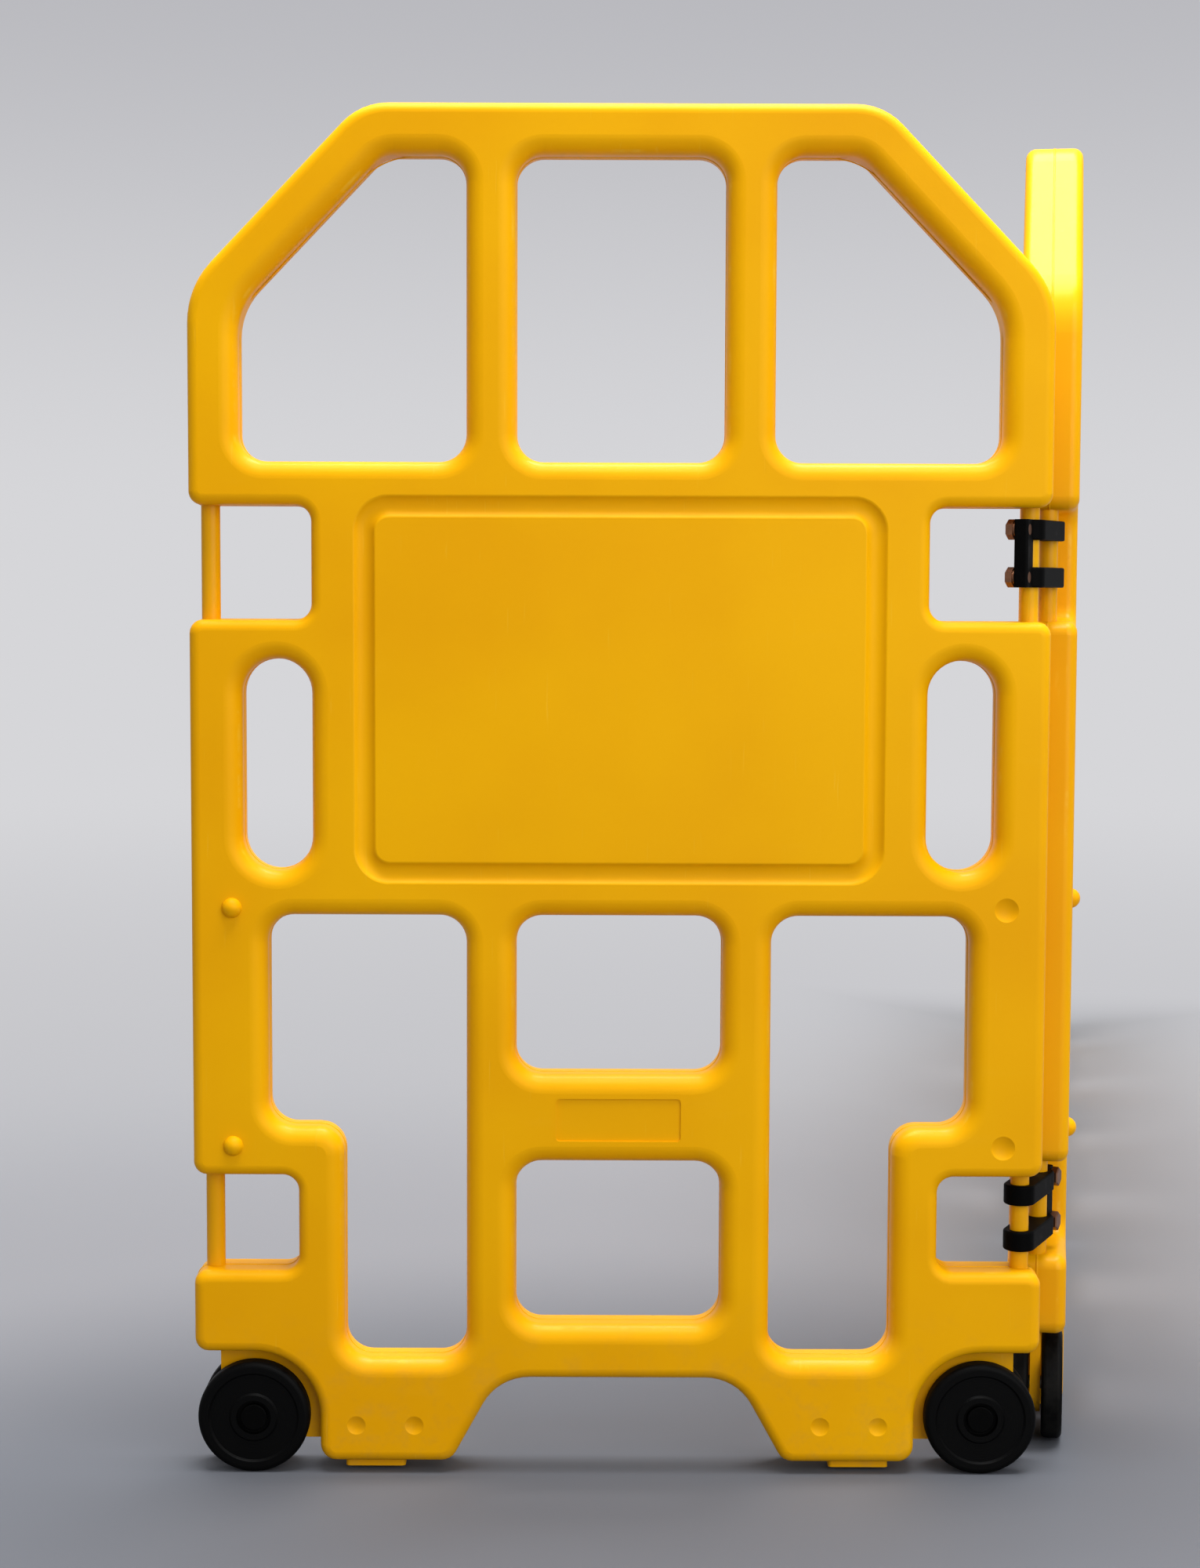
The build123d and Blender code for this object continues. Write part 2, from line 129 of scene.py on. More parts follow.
# Right-hand windows, which have mirror images, as x, z and corner radius
SIDE_WINDOWS = (
    (
        (WINDOW_SPAN[0], UPPER_WINDOW[0], WINDOW_CORNER),
        (WINDOW_SPAN[1], UPPER_WINDOW[0], WINDOW_CORNER),
        (WINDOW_SPAN[1], INNER_SHOULDER_Z, WINDOW_CORNER),
        (INNER_SHOULDER_X, UPPER_WINDOW[1], INNER_SHOULDER_CORNER),
        (WINDOW_SPAN[0], UPPER_WINDOW[1], WINDOW_CORNER),
    ),
    (
        (WINDOW_SPAN[0], LONG_WINDOW[0], WINDOW_CORNER),
        (NECK_FAR, LONG_WINDOW[0], WINDOW_CORNER),
        (NECK_FAR, LEDGE_Z, WINDOW_CORNER),
        (LONG_WINDOW_FAR, LEDGE_Z, WINDOW_CORNER),
        (LONG_WINDOW_FAR, LONG_WINDOW[1], WINDOW_CORNER),
        (WINDOW_SPAN[0], LONG_WINDOW[1], WINDOW_CORNER),
    ),
    (
        (SLOT_SPAN[0], HAND_SLOT[0], SLOT_CORNER),
        (SLOT_SPAN[1], HAND_SLOT[0], SLOT_CORNER),
        (SLOT_SPAN[1], HAND_SLOT[1], SLOT_CORNER),
        (SLOT_SPAN[0], HAND_SLOT[1], SLOT_CORNER),
    ),
)

# Points round the mould seam's oval
SEAM_SIDES = 8

# Middle windows, as their lowest and highest z
MIDDLE_WINDOWS = (UPPER_WINDOW, (0.3025, LONG_WINDOW[1]), (0.1125, 0.2370))

# Lights: where each hangs, where it points and how wide it is, in metres
FRONT_LIGHT = {"place": (1.5, -3.6, 1.7), "target": (-0.18, -0.96, 0.35), "size": 3.0}
TOP_LIGHT = {"place": (0.1, -0.7, 3.6), "target": (-0.1, -0.4, 0.0), "size": 2.6}
WHITE = (1.0, 1.0, 1.0, 1.0)

# The floor's grid, and the distances in metres over which its colour fades, the painted shade under and round
# the first panel among them.
# They are measured from a point ahead of the first panel, and the last two from the line and the ends of the
# other panels
FLOOR_RADIUS = 30.0
FLOOR_RINGS = 24
FLOOR_SPOKES = 96
FADE_AHEAD = 0.3
# Distances over which the painted shade under the first panel fades out
PAINTED_SHADE_UNDER_FADE = (0.5, 1.0)
PAINTED_SHADE_ROUND_FADE = (0.8, 2.6)
HAZE_FADE = (0.8, 7.0)
GLOW_FADE = (1.3, 2.6)
RUN_FADE = (0.05, 0.45)
RUN_END_FADE = 0.4

# How high the background's colour fades, as the upward part of the line of sight
SKY_FADE = (0.02, 0.26)


def display(red, green, blue):
    """Linear colour of a display colour given from 0 to 255."""
    share = np.array((red, green, blue)) / 255
    return tuple(np.where(share <= 0.04045, share / 12.92, ((share + 0.055) / 1.055) ** 2.4))


class PanelFinish(bpy.types.PropertyGroup):
    """Colours and mould marks of the yellow panels."""

    yellow: FloatVectorProperty(
        name="Yellow",
        description="Colour of the moulded panels",
        subtype="COLOR",
        default=display(239, 175, 0),
    )
    deep_yellow: FloatVectorProperty(
        name="Deep yellow",
        description="Colour of the thicker pigment",
        subtype="COLOR",
        default=display(231, 162, 0),
    )
    scuffed: FloatVectorProperty(
        name="Scuffed",
        description="Colour of rubbed plastic",
        subtype="COLOR",
        default=display(243, 200, 70),
    )
    dust: FloatVectorProperty(
        name="Dust",
        description="Colour of floor dust on the feet",
        subtype="COLOR",
        default=display(150, 128, 88),
    )
    dustiness: FloatProperty(
        name="Dustiness",
        description="How much of the feet's colour the dust takes",
        subtype="FACTOR",
        default=0.16,
    )
    rim_wear: FloatProperty(
        name="Rim wear",
        description="How far rubbed patches pale the rims",
        subtype="FACTOR",
        default=0.45,
    )
    scratches: FloatProperty(
        name="Scratches",
        description="How far scratches pale the faces",
        subtype="FACTOR",
        default=0.16,
    )
    wall_gloss: FloatProperty(
        name="Wall gloss",
        description="Coat on the walls of the windows and the outline",
        subtype="FACTOR",
        default=0.15,
    )
    relief: FloatProperty(
        name="Relief",
        description="Height of the moulded grain and swells",
        subtype="DISTANCE",
        default=0.001,
    )
    seam_width: FloatProperty(
        name="Seam width",
        description="Width of the mould seam",
        subtype="DISTANCE",
        default=0.0016,
    )
    seam_rise: FloatProperty(
        name="Seam rise",
        description="How far the mould seam stands proud",
        subtype="DISTANCE",
        default=0.0005,
    )
    arc_steps: IntProperty(
        name="Arc steps",
        description="Points along each corner of the seam",
        default=12,
    )


class WheelFinish(bpy.types.PropertyGroup):
    """Colours of the wheels and of what holds them."""

    rubber: FloatVectorProperty(
        name="Rubber",
        description="Colour of the wheels",
        subtype="COLOR",
        default=display(4, 4, 4),
    )
    dust: FloatVectorProperty(
        name="Dust",
        description="Colour of floor dust on the treads",
        subtype="COLOR",
        default=display(30, 29, 27),
    )
    ring_pitch: FloatProperty(
        name="Ring pitch",
        description="Between the fine rings turned into a wheel's sides",
        subtype="DISTANCE",
        default=0.0012,
    )
    relief: FloatProperty(
        name="Relief",
        description="Height of the rings and the mottling",
        subtype="DISTANCE",
        default=0.001,
    )
    cap: FloatVectorProperty(
        name="Cap",
        description="Colour of the axle caps",
        subtype="COLOR",
        default=display(5, 5, 5),
    )
    steel: FloatVectorProperty(
        name="Steel",
        description="Colour of the axles",
        subtype="COLOR",
        default=display(196, 193, 187),
    )


class HingeFinish(bpy.types.PropertyGroup):
    """Colours of the hinge clips and their screws."""

    clip: FloatVectorProperty(
        name="Clip",
        description="Colour of the hinge clips",
        subtype="COLOR",
        default=display(5, 5, 5),
    )
    screw: FloatVectorProperty(
        name="Screw",
        description="Colour of the screws",
        subtype="COLOR",
        default=display(134, 95, 71),
    )


class StageSettings(bpy.types.PropertyGroup):
    """Floor, lights and camera."""

    floor: FloatVectorProperty(
        name="Floor",
        description="Colour of the floor far off",
        subtype="COLOR",
        default=display(150, 151, 155),
    )
    # Painted shade: the floor is painted darker round the barrier than far off
    floor_painted_shade_round: FloatVectorProperty(
        name="Near floor",
        description="Colour of the floor round the barrier",
        subtype="COLOR",
        default=display(117, 118, 123),
    )
    # Painted shade: the floor is painted darker under and just ahead of the first panel, where its shadow
    # falls
    floor_painted_shade_under: FloatVectorProperty(
        name="Dim floor",
        description="Colour of the floor under the first panel",
        subtype="COLOR",
        default=display(86, 89, 96),
    )
    haze: FloatVectorProperty(
        name="Haze",
        description="Colour that the floor fades to round the barrier",
        subtype="COLOR",
        default=display(197, 197, 201),
    )
    horizon: FloatVectorProperty(
        name="Horizon",
        description="Colour of the background low down",
        subtype="COLOR",
        default=display(214, 214, 217),
    )
    sky: FloatVectorProperty(
        name="Sky",
        description="Colour of the background high up",
        subtype="COLOR",
        default=display(183, 183, 188),
    )
    ambient: FloatProperty(
        name="Ambient",
        description="Strength of the light from all round",
        default=0.41,
    )
    key_power: FloatProperty(
        name="Key",
        description="Power of the front light",
        subtype="POWER",
        default=67,
    )
    top_power: FloatProperty(
        name="Top",
        description="Power of the overhead light",
        subtype="POWER",
        default=290,
    )
    lens: FloatProperty(
        name="Lens",
        description="Focal length in millimetres",
        default=59.4,
    )
    distance: FloatProperty(
        name="Distance",
        description="From the camera to the first panel",
        subtype="DISTANCE",
        default=1.925,
    )
    height: FloatProperty(
        name="Height",
        description="Of the camera",
        subtype="DISTANCE",
        default=0.664,
    )
    aside: FloatProperty(
        name="Aside",
        description="Camera's place left of the first panel's middle",
        subtype="DISTANCE",
        default=0.0145,
    )
    pitch: FloatProperty(
        name="Pitch",
        description="How far the camera looks down",
        subtype="ANGLE",
        default=math.radians(4.3),
    )
    roll: FloatProperty(
        name="Roll",
        description="Camera's lean",
        subtype="ANGLE",
        default=math.radians(0.2),
    )


SOCKETS = {
    "base_color": "Base Color",
    "roughness": "Roughness",
    "metallic": "Metallic",
    "normal": "Normal",
    "specular": "Specular IOR Level",
    "coat": "Coat Weight",
    "coat_roughness": "Coat Roughness",
}


class Signal:
    """A shader value. Arithmetic between signals and numbers adds Math nodes to its material."""

    def __init__(self, finish, socket):
        self.finish = finish
        self.socket = socket

    def math(self, operation, *values):
        return self.finish.node("ShaderNodeMath", {"operation": operation}, dict(enumerate(values)))

    def __add__(self, other):
        return self.math("ADD", self, other)

    def __radd__(self, other):
        return self.math("ADD", other, self)

    def __sub__(self, other):
        return self.math("SUBTRACT", self, other)

    def __rsub__(self, other):
        return self.math("SUBTRACT", other, self)

    def __mul__(self, other):
        return self.math("MULTIPLY", self, other)

    def __rmul__(self, other):
        return self.math("MULTIPLY", other, self)

    def __pow__(self, other):
        return self.math("POWER", self, other)

    def __abs__(self):
        return self.math("ABSOLUTE", self)

    def sine(self):
        return self.math("SINE", self)

    def or_more(self, other):
        """The larger of two values."""
        return self.math("MAXIMUM", self, other)

    def step(self, low, high):
        """Smooth step of the value, from 0 at low to 1 at high."""
        settings = {"interpolation_type": "SMOOTHSTEP"}
        inputs = {"Value": self, "From Min": low, "From Max": high, "To Min": 0.0, "To Max": 1.0}
        return self.finish.node("ShaderNodeMapRange", settings, inputs)


class Finish:
    """A material in the making: its nodes, and the shader that they feed."""

    def __init__(self, owner):
        self.tree = owner.node_tree

    def node(self, kind, settings=None, inputs=None, output=0):
        """Adds a node of this kind, sets it up, and gives one of its outputs as a signal."""
        made = self.tree.nodes.new(kind)
        for key, value in (settings or {}).items():
            setattr(made, key, value)
        for key, value in (inputs or {}).items():
            if isinstance(value, Signal):
                self.tree.links.new(value.socket, made.inputs[key])
            else:
                made.inputs[key].default_value = value
        return Signal(self, made.outputs[output])

    def noise(self, place, scale, detail=2.0, roughness=0.5):
        """Cloudy noise from 0 to 1 with this many features to a metre."""
        inputs = {"Vector": place, "Scale": scale, "Detail": detail, "Roughness": roughness}
        return self.node("ShaderNodeTexNoise", None, inputs)

    def blend(self, share, first, second):
        """Colour between two colours."""
        pair = [colour if isinstance(colour, Signal) else (*colour, 1.0) for colour in (first, second)]
        return self.node("ShaderNodeMix", {"data_type": "RGBA"}, {0: share, 6: pair[0], 7: pair[1]}, 2)

    def stretch(self, place, scale):
        """The place with each axis scaled by its own number."""
        return self.node("ShaderNodeVectorMath", {"operation": "MULTIPLY"}, {0: place, 1: scale})

    def local(self, centre, turn):
        """Object coordinates measured from a centre on the floor plan, turned about the vertical."""
        here = self.node("ShaderNodeTexCoord", None, None, "Object")
        inputs = {"Vector": here, "Location": tuple(centre), "Rotation": (0.0, 0.0, turn)}
        return self.node("ShaderNodeMapping", {"vector_type": "TEXTURE"}, inputs)

    def seen(self):
        """1 where the camera looks straight, by reflection or through glass, and 0 for scattered light."""
        path = self.node("ShaderNodeLightPath").socket.node
        kinds = ("Is Camera Ray", "Is Glossy Ray", "Is Transmission Ray")
        camera, glossy, through = (Signal(self, path.outputs[kind]) for kind in kinds)
        return camera.or_more(glossy.or_more(through))

    def axes(self, place):
        """The three coordinates of a place, each as a signal."""
        split = self.node("ShaderNodeSeparateXYZ", None, {0: place}).socket.node
        return [Signal(self, socket) for socket in split.outputs]


def new_finish(name, **constants):
    """A material with its constant shader values set, ready for its nodes."""
    material = bpy.data.materials.new(name)
    material.use_nodes = True
    shader = material.node_tree.nodes["Principled BSDF"]
    for key, value in constants.items():
        shader.inputs[SOCKETS[key]].default_value = value
    return material, Finish(material)


def feed(material, **signals):
    """Links signals to the shader's sockets of these names."""
    shader = material.node_tree.nodes["Principled BSDF"]
    for key, signal in signals.items():
        material.node_tree.links.new(signal.socket, shader.inputs[SOCKETS[key]])


def relief(finish, height, distance):
    """Surface normal raised by a height, which reaches this far in metres."""
    return finish.node("ShaderNodeBump", None, {"Height": height, "Distance": distance})


def panel_frames():
    """Middle and turn of every panel on the floor plan, stepped from rod to rod."""
    low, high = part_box("panel_1")
    middle = Vector(((low.x + high.x) / 2, (low.y + high.y) / 2, 0.0))
    turns = [0.0] + [CORNER_TURN] * (PANEL_COUNT - 1)
    links = [FIRST_LINK_TURN] + [CORNER_TURN] * (PANEL_COUNT - 2)
    frames = [(middle, turns[0])]
    for link, turn in zip(links, turns[1:]):
        for heading, length in ((frames[-1][1], ROD_X), (link, LINK_LENGTH), (turn, ROD_X)):
            middle = middle + Vector((math.cos(heading), math.sin(heading), 0.0)) * length
        frames.append((middle, turn))
    return frames


def moulded_yellow(name, centre, turn, look):
    """Blow-moulded plastic: clouded pigment, grain, wavy faces, rubbed rims, glossy walls, dusty feet."""
    material, finish = new_finish(name, specular=0.08, coat_roughness=0.22)
    place = finish.local(centre, turn)
    _, through, up = finish.axes(place)
    cloud = finish.noise(place, scale=4.0, detail=3.0)
    mottle = finish.noise(place, scale=70.0, detail=4.0, roughness=0.6)
    grain = finish.noise(place, scale=650.0)
    swell = finish.noise(finish.stretch(place, (1.0, 0.4, 1.0)), scale=9.0, detail=1.0)
    scratch = finish.noise(finish.stretch(place, (420.0, 90.0, 18.0)), scale=1.0, detail=3.0).step(0.66, 0.74)
    smear = finish.noise(finish.stretch(place, (10.0, 40.0, 60.0)), scale=1.0, detail=4.0).step(0.60, 0.78)
    # Rims and walls lie deeper under the flat faces than the sign border's groove does
    depth = HALF_THICK - abs(through)
    walls = depth.step(GROOVE_DEPTH, 0.75 * EDGE_ROUND)
    rim = depth.step(GROOVE_DEPTH, 0.65 * EDGE_ROUND) * (1.0 - depth.step(0.8 * EDGE_ROUND, EDGE_ROUND))
    rubbed = finish.noise(place, scale=30.0, detail=5.0, roughness=0.65).step(0.52, 0.72)
    wear = rim * rubbed * look.rim_wear + scratch * look.scratches + smear * 0.03
    low_down = 1.0 - up.step(*DUST_FADE)
    dusty = low_down * finish.noise(place, scale=45.0, detail=5.0, roughness=0.7).step(0.45, 0.75)
    colour = finish.blend(cloud.step(0.30, 0.70), look.deep_yellow, look.yellow)
    colour = finish.blend(mottle * 0.10, colour, look.deep_yellow)
    colour = finish.blend(wear, colour, look.scuffed)
    colour = finish.blend(dusty * look.dustiness, colour, look.dust)
    height = swell * 0.9 + mottle * 0.05 + grain * 0.03 - scratch * 0.04
    feed(
        material,
        base_color=colour,
        roughness=0.36 + mottle * 0.12 + wear * 0.25 + dusty * 0.2,
        coat=walls * look.wall_gloss,
        normal=relief(finish, height, look.relief),
    )
    return material


def rounded_loop(corners, steps):
    """Closed path of straight runs joined by corner arcs, for corners listed anticlockwise as x, z, radius.
    Each arc's centre stands one radius from both of its runs, and its points turn evenly from the first
    run's outward normal to the second's. Returns the points and the outward normals."""
    corners = np.asarray(corners, float)
    spot, radius = corners[:, :2], corners[:, 2]
    into = spot - np.roll(spot, 1, 0)
    into /= np.linalg.norm(into, axis=1, keepdims=True)
    leave = np.roll(into, -1, 0)
    outward = np.stack([into[:, 1], -into[:, 0]], 1)
    turn = np.arctan2(into[:, 0] * leave[:, 1] - into[:, 1] * leave[:, 0], (into * leave).sum(1))
    side = np.sign(turn)[:, None]
    start = spot - into * (radius * np.tan(np.abs(turn) / 2))[:, None]
    centre = start - outward * radius[:, None] * side
    angle = np.arctan2(outward[:, 1], outward[:, 0])[:, None] + turn[:, None] * np.linspace(0, 1, steps)
    normal = np.stack([np.cos(angle), np.sin(angle)], 2)
    points = centre[:, None] + normal * (radius[:, None] * side)[:, None]
    return points.reshape(-1, 2), normal.reshape(-1, 2)


def mirrored(corners):
    """The loop's mirror image about the panel's upright middle line, still listed anticlockwise."""
    return tuple((-x, z, radius) for x, z, radius in reversed(corners))


def closed_grid(points):
    """Faces of a grid that closes on itself both ways, as rows of four vertex numbers."""
    rows, columns = points.shape[:2]
    number = np.arange(rows * columns).reshape(rows, columns)
    ahead = np.roll(number, -1, 0)
    quads = np.stack([number, np.roll(number, -1, 1), np.roll(ahead, -1, 1), ahead], 2)
    return quads.reshape(-1, 4)


def mesh_object(name, points, quads):
    """Smooth mesh object at the origin from arrays of points and four-sided faces."""
    mesh = bpy.data.meshes.new(name)
    mesh.from_pydata(points.tolist(), [], quads.tolist())
    mesh.shade_smooth()
    made = bpy.data.objects.new(name, mesh)
    bpy.context.scene.collection.objects.link(made)
    return made


def seam_loops():
    """Every loop that the mould's parting plane cuts: the outline, then the windows turned inside out."""
    right = OUTLINE_HALF[::-1]
    loops = [(right + mirrored(right), 1.0)]
    middles = [
        tuple((x, z, WINDOW_CORNER) for x, z in
              ((-MIDDLE_HALF, low), (MIDDLE_HALF, low), (MIDDLE_HALF, high), (-MIDDLE_HALF, high)))
        for low, high in MIDDLE_WINDOWS
    ]
    windows = [*SIDE_WINDOWS, *(mirrored(window) for window in SIDE_WINDOWS), *middles]
    return loops + [(window, -1.0) for window in windows]


def mould_seam(name, centre, turn, look):
    """Fine bead that the mould's parting line leaves round the outline and in the windows: a flat oval
    carried along each loop, half sunk into the wall."""
    around = np.linspace(0, 2 * math.pi, SEAM_SIDES, endpoint=False)
    points, quads, count = [], [], 0
    for corners, side in seam_loops():
        path, normal = rounded_loop(corners, look.arc_steps)
        flat = path[:, None] + normal[:, None] * (side * look.seam_rise * np.cos(around))[None, :, None]
        through = np.broadcast_to(look.seam_width / 2 * np.sin(around) * side, flat.shape[:2])
        grid = np.stack([flat[..., 0], through, flat[..., 1]], 2)
        quads.append(closed_grid(grid) + count)
        points.append(grid.reshape(-1, 3))
        count += grid.shape[0] * grid.shape[1]
    local = np.concatenate(points)
    cosine, sine = math.cos(turn), math.sin(turn)
    placed = local @ np.array([[cosine, sine, 0], [-sine, cosine, 0], [0, 0, 1]]) + np.array(centre)
    return mesh_object(name, placed, np.concatenate(quads))


def black_rubber(name, centre, turn, look):
    """Moulded rubber wheel: fine rings turned into its sides, soft mottling, and a dusty tread."""
    material, finish = new_finish(name, specular=0.07)
    place = finish.local(centre, turn)
    across, _, up = finish.axes(place)
    radius = (across * across + up * up) ** 0.5
    mottle = finish.noise(place, scale=260.0, detail=4.0, roughness=0.6)
    patch = finish.noise(place, scale=60.0, detail=4.0, roughness=0.65)
    rings = (radius * (2 * math.pi / look.ring_pitch)).sine()
    tread = radius.step(*(WHEEL_RADIUS - depth for depth in TREAD_FADE))
    dusty = tread * patch.step(0.35, 0.70) * 0.55 + patch.step(0.62, 0.85) * 0.06
    feed(
        material,
        base_color=finish.blend(dusty, look.rubber, look.dust),
        roughness=0.46 + mottle * 0.12 + dusty * 0.3,
        normal=relief(finish, rings * 0.02 + mottle * 0.06, look.relief),
    )
    return material


def black_plastic(name, colour, roughness):
    """Injection-moulded black plastic with a fine spark-eroded texture and lightly rubbed patches."""
    material, finish = new_finish(name, specular=0.03)
    place = finish.node("ShaderNodeTexCoord", None, None, "Object")
    texture = finish.noise(place, scale=1100.0, detail=3.0, roughness=0.6)
    patch = finish.noise(place, scale=90.0, detail=4.0, roughness=0.6)
    rubbed = patch.step(0.55, 0.80)
    paler = tuple(channel * 2.0 + 0.002 for channel in colour)
    feed(
        material,
        base_color=finish.blend(rubbed * 0.6, colour, paler),
        roughness=roughness + texture * 0.12 - rubbed * 0.08,
        normal=relief(finish, texture, FINE_RELIEF),
    )
    return material


def plated_steel(name, colour, roughness):
    """Plated steel: brushed streaks, cloudy plating and a slightly uneven polish."""
    material, finish = new_finish(name, metallic=1.0)
    place = finish.node("ShaderNodeTexCoord", None, None, "Object")
    streak = finish.noise(finish.stretch(place, (2400.0, 2400.0, 160.0)), scale=1.0, detail=3.0)
    cloud = finish.noise(place, scale=180.0, detail=4.0, roughness=0.6)
    darker = tuple(channel * 0.62 for channel in colour)
    feed(
        material,
        base_color=finish.blend(cloud.step(0.4, 0.75) * 0.6, colour, darker),
        roughness=roughness + streak * 0.12 + cloud * 0.08,
        normal=relief(finish, streak, BRUSHED_RELIEF),
    )
    return material


def paint(node, material):
    """Gives a node of the solid model this finish."""
    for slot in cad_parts[node].material_slots:
        slot.material = material


def nodes_like(word):
    """Names of the solid model's nodes that hold this word."""
    return sorted(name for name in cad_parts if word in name)


def box_middle(node):
    """Middle of a node's box."""
    low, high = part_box(node)
    return (low + high) / 2


class BARRIER_OT_panels(bpy.types.Operator):
    """Finish the panels and lay the mould seam round each"""

    bl_idname = "barrier.panels"
    bl_label = "Panels"

    def execute(self, context):
        look = context.scene.barrier_panel
        for number, (centre, turn) in enumerate(panel_frames(), 1):
            yellow = moulded_yellow(f"moulded_yellow_{number}", centre, turn, look)
            for node in [f"panel_{number}", *nodes_like(f"rods_{number}")]:
                paint(node, yellow)
            seam = mould_seam(f"mould_seam_{number}", centre, turn, look)
            seam.data.materials.append(yellow)
            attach(seam, f"panel_{number}")
        return {"FINISHED"}


class BARRIER_OT_wheels(bpy.types.Operator):
    """Finish the wheels, axles and axle caps"""

    bl_idname = "barrier.wheels"
    bl_label = "Wheels"

    def execute(self, context):
        look = context.scene.barrier_wheel
        turns = [turn for _, turn in panel_frames()]
        for node in nodes_like("wheel"):
            turn = turns[int(node[-1]) - 1]
            paint(node, black_rubber(f"black_rubber_{node}", box_middle(node), turn, look))
        steel = plated_steel("axle_steel", tuple(look.steel), roughness=0.3)
        cap = black_plastic("cap_plastic", tuple(look.cap), roughness=0.42)
        for node in nodes_like("axle"):
            paint(node, cap if "caps" in node else steel)
        return {"FINISHED"}


class BARRIER_OT_hinges(bpy.types.Operator):
    """Finish the hinge clips and their screws"""

    bl_idname = "barrier.hinges"
    bl_label = "Hinges"

    def execute(self, context):
        look = context.scene.barrier_hinge
        clip = black_plastic("clip_plastic", tuple(look.clip), roughness=0.46)
        screw = plated_steel("screw_steel", tuple(look.screw), roughness=0.34)
        for node in nodes_like("clip"):
            paint(node, screw if "screws" in node else clip)
        return {"FINISHED"}


class BARRIER_OT_stage(bpy.types.Operator):
    """Set the floor, the background, the lights and the camera"""

    bl_idname = "barrier.stage"
    bl_label = "Stage"

    def execute(self, context):
        look = context.scene.barrier_stage
        lay_floor(look)
        set_background(context.scene, look)
        hang_light("front_light", **FRONT_LIGHT, power=look.key_power)
        hang_light("top_light", **TOP_LIGHT, power=look.top_power)
        set_camera(context.scene, look)
        context.scene.view_settings.view_transform = "Standard"
        return {"FINISHED"}


def lay_floor(look):
    """Round floor: a polar grid whose radius grows by the square, so that it is fine under the barrier."""
    radius = np.linspace(0, 1, FLOOR_RINGS + 1)[1:, None] ** 2 * FLOOR_RADIUS
    angle = np.linspace(0, 2 * math.pi, FLOOR_SPOKES, endpoint=False)[None]
    rings = np.stack([radius * np.cos(angle), radius * np.sin(angle), radius * angle * 0], 2)
    rows, columns = rings.shape[:2]
    number = np.arange(rows * columns).reshape(rows, columns)
    near, far = number[:-1], number[1:]
    quads = np.stack([near, far, np.roll(far, -1, 1), np.roll(near, -1, 1)], 2).reshape(-1, 4)
    mesh = bpy.data.meshes.new("floor")
    mesh.from_pydata(rings.reshape(-1, 3).tolist(), [], quads.tolist() + [number[0].tolist()])
    floor = bpy.data.objects.new("floor", mesh)
    bpy.context.scene.collection.objects.link(floor)
    material, finish = new_finish("pale_floor", roughness=0.7)
    frames = panel_frames()
    place = finish.local(frames[0][0] - Vector((0.0, FADE_AHEAD, 0.0)), 0.0)
    across, along, _ = finish.axes(place)
    away = (across * across + along * along) ** 0.5
    # Painted shade: the floor's colour is darkest under the first panel, stays darker round the barrier, and
    # pales far off
    shaded = finish.blend(away.step(*PAINTED_SHADE_UNDER_FADE), look.floor_painted_shade_under, look.floor_painted_shade_round)
    feed(material, base_color=finish.blend(away.step(*PAINTED_SHADE_ROUND_FADE), shaded, look.floor))
    fade = finish.blend(away.step(*HAZE_FADE), look.haze, look.horizon)
    glow = finish.node("ShaderNodeEmission", None, {"Color": fade})
    shader = Signal(finish, material.node_tree.nodes["Principled BSDF"].outputs[0])
    # The floor doesn't glow by the panels behind the first, so it keeps their shadow
    run_middle, run_turn = frames[PANEL_COUNT // 2]
    run_half = (PANEL_COUNT - 1) / 2 * (2 * ROD_X + LINK_LENGTH)
    along_run, beside_run, _ = finish.axes(finish.local(run_middle, run_turn))
    past_end = abs(along_run).step(run_half, run_half + RUN_END_FADE)
    clear = abs(beside_run).step(*RUN_FADE).or_more(past_end)
    share = finish.seen() * away.step(*GLOW_FADE) * clear
    mixed = finish.node("ShaderNodeMixShader", None, {0: share, 1: shader, 2: glow})
    output = material.node_tree.nodes["Material Output"]
    material.node_tree.links.new(mixed.socket, output.inputs["Surface"])
    mesh.materials.append(material)


def set_background(scene, look):
    """Even light from all round, and a pale gradient where the camera sees past the floor."""
    world = bpy.data.worlds.new("studio")
    world.use_nodes = True
    world.node_tree.nodes.clear()
    finish = Finish(world)
    facing = finish.node("ShaderNodeTexCoord", None, None, "Generated")
    _, _, rise = finish.axes(facing)
    colour = finish.blend(rise.step(*SKY_FADE), look.horizon, look.sky)
    shown = finish.node("ShaderNodeBackground", None, {"Color": colour})
    lit = finish.node("ShaderNodeBackground", None, {"Strength": look.ambient, "Color": WHITE})
    mixed = finish.node("ShaderNodeMixShader", None, {0: finish.seen(), 1: lit, 2: shown})
    output = world.node_tree.nodes.new("ShaderNodeOutputWorld")
    world.node_tree.links.new(mixed.socket, output.inputs["Surface"])
    scene.world = world


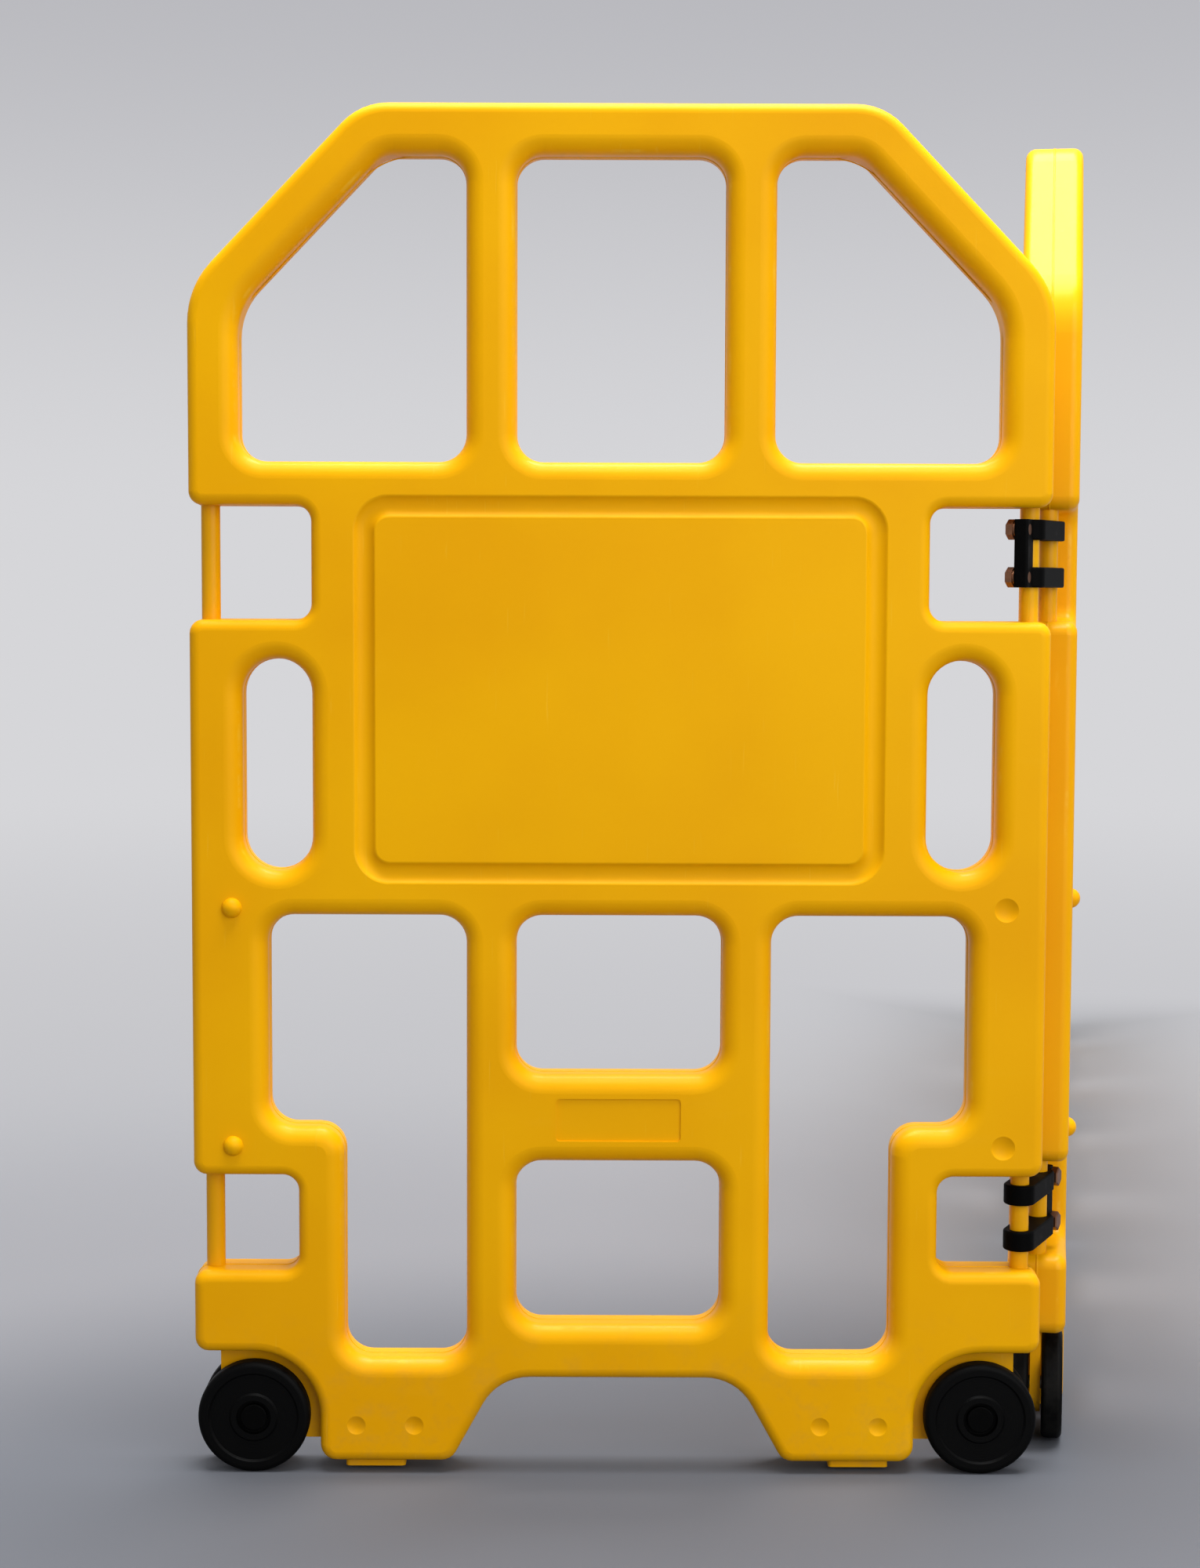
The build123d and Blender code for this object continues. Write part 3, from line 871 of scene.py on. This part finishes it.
def hang_light(name, place, target, size, power):
    """Square soft light at a place, turned to its target."""
    lamp = bpy.data.lights.new(name, "AREA")
    lamp.size = size
    lamp.energy = power
    hung = bpy.data.objects.new(name, lamp)
    hung.location = place
    hung.rotation_euler = (Vector(target) - Vector(place)).to_track_quat("-Z", "Y").to_euler()
    bpy.context.scene.collection.objects.link(hung)


def set_camera(scene, look):
    """Camera square to the first panel, looking slightly down."""
    middle = panel_frames()[0][0]
    lens = bpy.data.cameras.new("camera")
    lens.lens = look.lens
    camera = bpy.data.objects.new("camera", lens)
    camera.location = middle + Vector((-look.aside, -look.distance, look.height))
    level = Euler((math.pi / 2 - look.pitch, 0.0, 0.0)).to_quaternion()
    camera.rotation_euler = (level @ Quaternion((0.0, 0.0, 1.0), look.roll)).to_euler()
    scene.collection.objects.link(camera)
    scene.camera = camera


STEPS = (BARRIER_OT_panels, BARRIER_OT_wheels, BARRIER_OT_hinges, BARRIER_OT_stage)
SETTINGS = {
    "barrier_panel": PanelFinish,
    "barrier_wheel": WheelFinish,
    "barrier_hinge": HingeFinish,
    "barrier_stage": StageSettings,
}


class BARRIER_PT_sidebar(bpy.types.Panel):
    """The barrier's settings and the steps that finish it"""

    bl_idname = "BARRIER_PT_sidebar"
    bl_label = "Expandable Barrier"
    bl_space_type = "VIEW_3D"
    bl_region_type = "UI"
    bl_category = "Barrier"

    def draw(self, context):
        for (name, group), step in zip(SETTINGS.items(), STEPS):
            box = self.layout.box()
            for key in group.__annotations__:
                box.prop(getattr(context.scene, name), key)
            box.operator(step.bl_idname)


CLASSES = (*SETTINGS.values(), *STEPS, BARRIER_PT_sidebar)


def register():
    for made in CLASSES:
        bpy.utils.register_class(made)
    for name, group in SETTINGS.items():
        setattr(bpy.types.Scene, name, PointerProperty(type=group))


def unregister():
    for name in SETTINGS:
        delattr(bpy.types.Scene, name)
    for made in reversed(CLASSES):
        bpy.utils.unregister_class(made)


def main():
    """Finish the barrier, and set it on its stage."""
    register()
    bpy.ops.barrier.panels()
    bpy.ops.barrier.wheels()
    bpy.ops.barrier.hinges()
    bpy.ops.barrier.stage()


if __name__ == "__main__":
    main()
